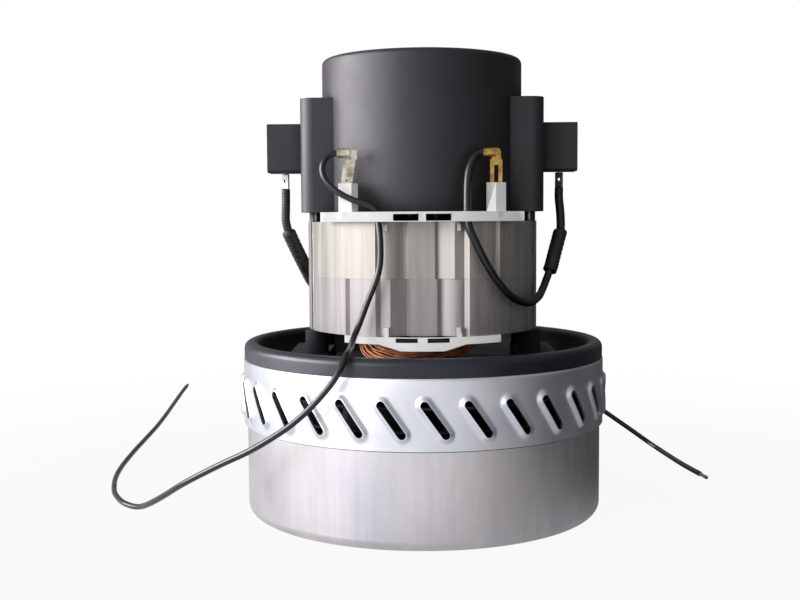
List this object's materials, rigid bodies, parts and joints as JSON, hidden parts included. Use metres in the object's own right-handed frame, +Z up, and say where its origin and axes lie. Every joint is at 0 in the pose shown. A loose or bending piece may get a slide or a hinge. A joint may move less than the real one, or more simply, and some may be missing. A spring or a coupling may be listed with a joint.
{
  "type": "vacuum motor unit",
  "caption": "Two-stage bypass vacuum motor: drawn fan casing with slanted exhaust slots, open-frame universal motor above it, brush boxes at the sides and black supply leads.",
  "frame": {"origin": "centre of the fan casing's flat base, on the shaft's axis", "axes": "+Z up the shaft from the intake to the commutator end, -Y the pictured front, X across the two brush boxes"},
  "size_m": [0.2893, 0.3921, 0.1775],
  "materials": {
    "shell_metal": "brushed, drawn",
    "fan_metal": "mill finish",
    "black_plastic": "moulded, slight sheen",
    "charcoal_plastic": "moulded, fine grain",
    "lamination": "stamped edges, fine horizontal lines",
    "steel": "bright zinc",
    "bearing_steel": "ground",
    "copper": "enamelled",
    "white_plastic": "moulded",
    "tinned_metal": "tinned",
    "brass": "bright",
    "lead_cover": "soft black cover",
    "sleeve_cover": "varnished sleeving",
    "strands": "tinned copper strands",
    "carbon": "pressed carbon"
  },
  "bodies": {
    "housing": {"fan_shell": "shell_metal", "vent_band": "shell_metal", "diffuser": "fan_metal", "fan_end_bracket": "black_plastic", "commutator_bracket": "charcoal_plastic", "vent_grille": "charcoal_plastic", "brush_box_left": "charcoal_plastic", "brush_box_right": "charcoal_plastic", "stator_stack_lower": "lamination", "stator_stack_upper": "lamination", "stator_bolts": "steel", "brush_spring_left": "steel", "brush_spring_right": "steel", "lower_bearing_outer": "bearing_steel", "upper_bearing_outer": "bearing_steel", "field_coil_front": "copper", "field_coil_rear": "copper", "upper_insulator_front": "white_plastic", "upper_insulator_rear": "white_plastic", "lower_insulator_front": "white_plastic", "lower_insulator_rear": "white_plastic", "lead_terminal_front": "tinned_metal", "lead_terminal_rear": "tinned_metal", "brush_lug_left": "tinned_metal", "brush_lug_right": "tinned_metal", "brush_terminal_front": "brass", "brush_terminal_rear": "brass", "brush_guide_left": "brass", "brush_guide_right": "brass", "lead_front": "lead_cover", "lead_rear": "lead_cover", "jumper_left": "lead_cover", "jumper_right": "lead_cover", "jumper_sleeve_left": "sleeve_cover", "jumper_sleeve_right": "sleeve_cover", "lead_tip_front": "strands", "lead_tip_rear": "strands"},
    "rotor": {"shaft": "steel", "armature_core": "lamination", "armature_winding": "copper", "commutator": "copper", "lower_bearing_inner": "bearing_steel", "upper_bearing_inner": "bearing_steel", "cooling_fan": "charcoal_plastic", "cooling_fan_clip": "steel", "first_stage_fan": "fan_metal", "second_stage_fan": "fan_metal", "fan_spacer": "steel", "bearing_spacer": "steel", "fan_washer": "steel", "fan_nut": "steel"},
    "lower_ball_set": {"lower_bearing_balls": "bearing_steel"},
    "upper_ball_set": {"upper_bearing_balls": "bearing_steel"},
    "brush_left": {"brush_left": "carbon"},
    "brush_right": {"brush_right": "carbon"}
  },
  "joints": [
    {"name": "rotor_spin", "type": "hinge", "parent": "housing", "child": "rotor", "pos_m": [0, 0, 0.0934], "axis": [0, 0, 1], "continuous": true},
    {"name": "lower_ball_orbit", "type": "hinge", "parent": "housing", "child": "lower_ball_set", "pos_m": [0, 0, 0.056], "axis": [0, 0, 1], "continuous": true},
    {"name": "upper_ball_orbit", "type": "hinge", "parent": "housing", "child": "upper_ball_set", "pos_m": [0, 0, 0.1595], "axis": [0, 0, 1], "continuous": true},
    {"name": "brush_left_slide", "type": "slide", "parent": "housing", "child": "brush_left", "axis": [-1, 0, 0], "range_m": [0, 0.01], "stiffness_N_per_m": 60, "springref_m": -0.02, "deforming": ["brush_spring_left"]},
    {"name": "brush_right_slide", "type": "slide", "parent": "housing", "child": "brush_right", "axis": [1, 0, 0], "range_m": [0, 0.01], "stiffness_N_per_m": 60, "springref_m": -0.02, "deforming": ["brush_spring_right"]}
  ],
  "couplings": [
    {"joint": "lower_ball_orbit", "follows": "rotor_spin", "ratio": 0.3667},
    {"joint": "upper_ball_orbit", "follows": "rotor_spin", "ratio": 0.36}
  ]
}
